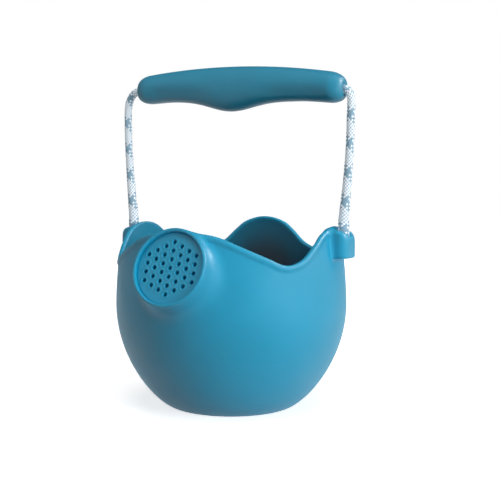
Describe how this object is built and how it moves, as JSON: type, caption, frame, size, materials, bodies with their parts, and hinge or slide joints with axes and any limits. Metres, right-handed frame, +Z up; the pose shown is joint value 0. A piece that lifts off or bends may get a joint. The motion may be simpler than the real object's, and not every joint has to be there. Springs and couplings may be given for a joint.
{
  "type": "watering can",
  "caption": "Small soft moulded watering can: round bowl with a wavy rim, short spout with a perforated rose, and a swinging rope handle with a shaped turning grip.",
  "frame": {"origin": "centre of the flat base, on the surface that the can stands on", "axes": "+Z up, -Y towards the spout, X through the two lugs and along the hinge of the handle"},
  "size_m": [0.1675, 0.1648, 0.2202],
  "materials": {
    "bowl_silicone": "satin",
    "grip_silicone": "satin",
    "rope": "braided white with light blue flecks"
  },
  "bodies": {
    "can": {"bucket": "bowl_silicone", "rose_plate": "bowl_silicone", "rope_anchor_left": "rope", "rope_anchor_right": "rope", "knot_left": "rope", "knot_right": "rope"},
    "rope_bail": {"rope_left": "rope", "rope_right": "rope", "rope_core": "rope"},
    "grip": {"grip": "grip_silicone"}
  },
  "joints": [
    {"name": "bail_swing", "type": "hinge", "parent": "can", "child": "rope_bail", "pos_m": [0, 0.002, 0.1188], "axis": [1, 0, 0], "range_deg": [-72, 75]},
    {"name": "grip_spin", "type": "hinge", "parent": "rope_bail", "child": "grip", "pos_m": [0.002, 0.002, 0.205], "axis": [0.9993, 0, -0.0384], "continuous": true}
  ]
}
